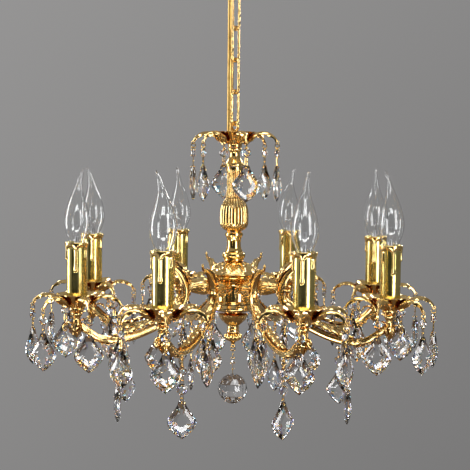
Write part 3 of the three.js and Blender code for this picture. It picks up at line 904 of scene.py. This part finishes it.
def sleeve_shape():
    """A metal candle tube with wax that has run down from its rim in drips. Its top is at z = 0."""
    columns = 112
    heights = np.concatenate([[-79], [-78.4], np.linspace(-60, -44, 3), np.linspace(-42, -0.6, 50), [0]])
    angle = np.arange(columns) * TAU / columns
    z = heights[:, None] + 0 * angle
    distance = -(z + 6.2)
    for turn, length, half in DRIPS:
        x = (angle - math.radians(turn) + math.pi) % TAU - math.pi
        x = x * 15.0
        swell = half * (1 + 0.35 * np.exp(-((z + length - 3) / 3) ** 2))
        drop = np.hypot(x, np.maximum(0, -(z + length - half))) - swell
        k = 7.0
        h = np.clip(0.5 + 0.5 * (drop - distance) / k, 0, 1)
        distance = drop * (1 - h) + distance * h - k * h * (1 - h)
    rise = np.clip(-distance, 0, None)
    wax = 2.7 * (1 - np.exp(-rise / 1.3)) * (rise > 0)
    top = np.clip((0.8 + z) / 0.8, 0, 1)
    radius = TUBE_RADIUS + wax - 0.9 * top * (wax > 0)
    outside = np.stack([radius * np.cos(angle), radius * np.sin(angle), z], -1)
    inside_r = np.array([13.4, 12.5, 12.4, 12.4, 12.9])[:, None] + 0 * angle
    inside_z = np.array([0, -0.6, -10, -78.6, -79])[:, None] + 0 * angle
    inside = np.stack([inside_r * np.cos(angle), inside_r * np.sin(angle), inside_z], -1)
    shape = skin(np.concatenate([outside, inside]), loop=True)
    waxed = wax > 0.35
    kinds = np.zeros((len(heights) + len(inside), columns), int)
    kinds[:len(heights)] = waxed
    return shape, kinds.ravel()


SLEEVE_SHAPE, SLEEVE_KINDS = sleeve_shape()
SLEEVE = mesh_of("candle_sleeve", SLEEVE_SHAPE, CANDLE, WAX, angle=70, groups=[(1, k) for k in SLEEVE_KINDS])

BULB_LINE = [(6.4, -9), (6.8, -7), (8.6, -4), (10.5, -1), (11.2, 3), (13.3, 8), (15.5, 14), (17, 21),
             (17.4, 27),
             (16.9, 34), (15.4, 42), (13.1, 50), (10.4, 58), (7.8, 65), (5.6, 72), (3.9, 80), (2.7, 88),
             (1.7, 95)]


def lean(shape):
    """Bends a bulb's tip over, towards +X."""
    points, faces = shape
    rise = np.clip(points[:, 2] - 50, 0, None) / 48
    points = points.copy()
    points[:, 0] += 9 * rise**2
    return points, faces


def bulb_shapes():
    line = smooth(BULB_LINE, 44)
    outer = [*line, (0.9, 97.4), (0, 98)]
    wall = 0.45
    inner = [(max(r - wall, 0.15), z) for r, z in line[:-1]]
    shell = [*line, (0.9, 97.4), (0, 98), (0, inner[-1][1] + 0.6), *inner[::-1]]
    glass = lean(turned(shell, 36, loop=True))
    mount = joined(turned([(0, -7.6), (4.6, -7.6), (3.6, -2), (2.4, 4), (2.6, 6.4), (1.8, 8), (0, 8.4)], 20),
                   *[wire([(x * 0.4, 0, 7), (x * 0.7, 0, 14), (x, 0, 24)], 0.28, 10, 6) for x in (-4, 4)],
                   *[wire([(0, y * 0.3, 8), (0, y, 16), (0, y * 1.1, 22)], 0.18, 8, 5) for y in (-2.4, 2.4)])
    a = np.linspace(0, 22 * TAU, 264)
    x = np.linspace(-4, 4, 264)
    coil = sweep(np.stack([x, 0.45 * np.cos(a), 24 + 0.45 * np.sin(a) - 1.2 * (1 - (x / 4) ** 2)], -1),
                 circle(0.13, 4), side=(1, 0, 0))
    threads = [(6.2 + 0.55 * math.cos(i * math.pi), -24.5 + i * 1.25) for i in range(13)]
    cap = turned([(0, -27), (2.4, -27), (2.8, -26.4), (3.4, -25.8), (5.4, -25.4), *threads, (6.7, -8.6),
                  (6.9, -7.2), (6.2, -7), (0, -7.4)], 32)
    return glass, mount, coil, cap


def add_candles():
    glass, mount, coil, cap = bulb_shapes()
    glass = mesh_of("bulb_glass", glass, GLASS, angle=80)
    cap = mesh_of("bulb_cap", cap, POLISHED, angle=60)
    inside = mesh_of("bulb_mount", joined(mount, coil), TUNGSTEN, angle=60)
    holder = bored([(10.8, -62), (11.4, -61.4), (11.4, -58), (10.4, -56), (10.4, -14), (11.2, -12),
                    (11.2, -8.6), (10.8, -8.2)], 40, bore=7.3)
    holder = mesh_of("lampholder", holder, PLASTIC, angle=40)
    for k in range(1, ARMS + 1):
        angle = FIRST_ARM + ARM_STEP * (k - 1)
        put(f"arm_{k}_casting", ARM, "lamp", spot(angle, 0), [f"arm_{k}"])
        add_pan(f"bobeche_{k}_leaves", f"bobeche_{k}", angle, CANDLE_RADIUS, BOBECHE_Z, 30)
        candle = spot(angle, CANDLE_RADIUS)
        place = candle.translation / MM
        turn = rng.uniform(-14, 14)
        put(f"candle_sleeve_{k}_tube", SLEEVE, "lamp", at(place.x, place.y, SLEEVE_TOP, turn),
            [f"candle_sleeve_{k}"])
        put(f"lampholder_{k}", holder, "lamp", at(place.x, place.y, SLEEVE_TOP))
        lamp = at(place.x, place.y, SLEEVE_TOP, TIP_TURNS[k - 1])
        put(f"bulb_{k}_glass", glass, f"bulb_{k}", lamp, [f"bulb_{k}"])
        put(f"bulb_{k}_cap", cap, f"bulb_{k}", lamp, [f"bulb_{k}"])
        put(f"bulb_{k}_filament", inside, f"bulb_{k}", lamp, [f"bulb_{k}"])
        hang = spot(angle, DROP_RADIUS, DROP_HOOK, DROP_TURNS[k - 1])
        add_string(f"lower_drop_{k}", hang, f"drop_{k}", LOWER_CRYSTALS, LOWER_METAL, [f"lower_drop_{k}"])
        inner = spot(angle, INNER_EYE[0], HUB_Z + INNER_EYE[1] - 1.4, rng.uniform(-50, 50))
        add_string(f"inner_drop_{k}", inner, "lamp", FINGER_CRYSTALS[rng.randrange(4)], FINGER_METAL)


add_candles()


def add_ball():
    stones = joined(octagon(-20.2, 5, 4.5), ball(BALL_Z - BALL_HOOK, BALL_RADIUS))
    metal = string_metal([(-5.6, -16.6), (-23.8, -42)])
    add_string("crystal_ball", at(z=BALL_HOOK), "ball", crystal_mesh("ball_crystals", stones, 21, 0.0),
               mesh_of("ball_metal", metal, POLISHED, angle=50), ["crystal_ball"])


add_ball()

# ---- Carried-over CAD node -----------------------------------------------------------------------

tube_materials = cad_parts["central_tube"].data.materials
tube_materials.clear()
tube_materials.append(STEEL)

# ---- Studio --------------------------------------------------------------------------------------

FLOOR_Z = -1.4


def add_floor():
    n = Nodes("floor")
    n.join(n.ramp(n.noise(2), [(0.3, (0.66, 0.65, 0.64)), (0.7, (0.7, 0.69, 0.68))]),
           n.shader.inputs["Base Color"])
    n.set(Roughness=0.6)
    mesh = bpy.data.meshes.new("floor")
    mesh.from_pydata([(-1.5, -1.5, FLOOR_Z), (1.5, -1.5, FLOOR_Z), (1.5, 1.5, FLOOR_Z),
                      (-1.5, 1.5, FLOOR_Z)], [],
                     [(0, 1, 2, 3)])
    mesh.materials.append(n.material)
    floor = bpy.data.objects.new("floor", mesh)
    scene.collection.objects.link(floor)


def add_light(name, place, aim, width, height, watts):
    data = bpy.data.lights.new(name, "AREA")
    data.shape = "RECTANGLE"
    data.size, data.size_y = width, height
    data.energy = watts
    light = bpy.data.objects.new(name, data)
    scene.collection.objects.link(light)
    light.location = place
    light.rotation_euler = (Vector(aim) - Vector(place)).to_track_quat("-Z", "Y").to_euler()


def add_flag(name, corners, dark, light):
    """A dark card that shows in reflections only, for the dark bands in polished metal."""
    n = Nodes(name)
    n.join(n.ramp(n.noise(3), [(0.3, dark), (0.7, light)]), n.shader.inputs["Base Color"])
    n.set(Roughness=0.9)
    mesh = bpy.data.meshes.new(name)
    mesh.from_pydata(corners, [], [(0, 1, 2, 3)])
    mesh.materials.append(n.material)
    card = bpy.data.objects.new(name, mesh)
    scene.collection.objects.link(card)
    card.visible_camera = False
    card.visible_shadow = False


def add_world():
    """A plain grey studio, a little darker low on the right."""
    world = bpy.data.worlds.new("studio")
    scene.world = world
    world.use_nodes = True
    tree = world.node_tree
    slope = tree.nodes.new("ShaderNodeVectorMath")
    slope.operation = "DOT_PRODUCT"
    slope.inputs[1].default_value = (-0.45, 0, 0.5)
    tree.links.new(tree.nodes.new("ShaderNodeTexCoord").outputs["Generated"], slope.inputs[0])
    level = tree.nodes.new("ShaderNodeMapRange")
    level.inputs["From Min"].default_value = -0.345
    level.inputs["From Max"].default_value = 0.255
    level.inputs["To Min"].default_value = 0.16
    level.inputs["To Max"].default_value = 0.33
    tree.links.new(slope.outputs["Value"], level.inputs["Value"])
    background = tree.nodes["Background"]
    background.inputs["Color"].default_value = (1, 0.985, 0.98, 1)
    tree.links.new(level.outputs["Result"], background.inputs["Strength"])


add_floor()
add_world()
add_flag("flag_front", [(-3.2, -2.2, -1.3), (0.55, -2.2, -1.3), (0.55, -2.2, 0.9), (-3.2, -2.2, 0.9)],
         (0.03, 0.034, 0.026), (0.045, 0.05, 0.038))
add_flag("flag_low", [(-1.3, -1.4, -1.37), (1.3, -1.4, -1.37), (1.3, 1.2, -1.37), (-1.3, 1.2, -1.37)],
         (0.1, 0.065, 0.04), (0.15, 0.1, 0.065))
add_light("softbox_right", (1.0, -1.25, -0.25), (0, 0, -0.45), 0.55, 1.2, 16)
add_light("softbox_left", (-1.6, 0.1, -0.25), (0, 0, -0.45), 0.4, 1.2, 15)
add_light("softbox_top", (0.0, -0.5, 1.1), (0, 0, -0.45), 1.2, 0.8, 12)
add_light("strip_low", (0.0, -1.5, -1.3), (0, 0, -0.5), 1.0, 0.25, 8)
add_light("spot_low_left", (-0.9, -1.2, -1.0), (0, 0, -0.5), 0.2, 0.2, 3)
add_light("spot_low_right", (0.75, -1.35, -1.1), (0, 0, -0.5), 0.2, 0.2, 3)
add_light("spot_back_left", (-0.9, 1.3, 0.3), (0, 0, -0.5), 0.3, 0.3, 6)
add_light("spot_back_right", (0.9, 1.3, 0.2), (0, 0, -0.5), 0.3, 0.3, 6)
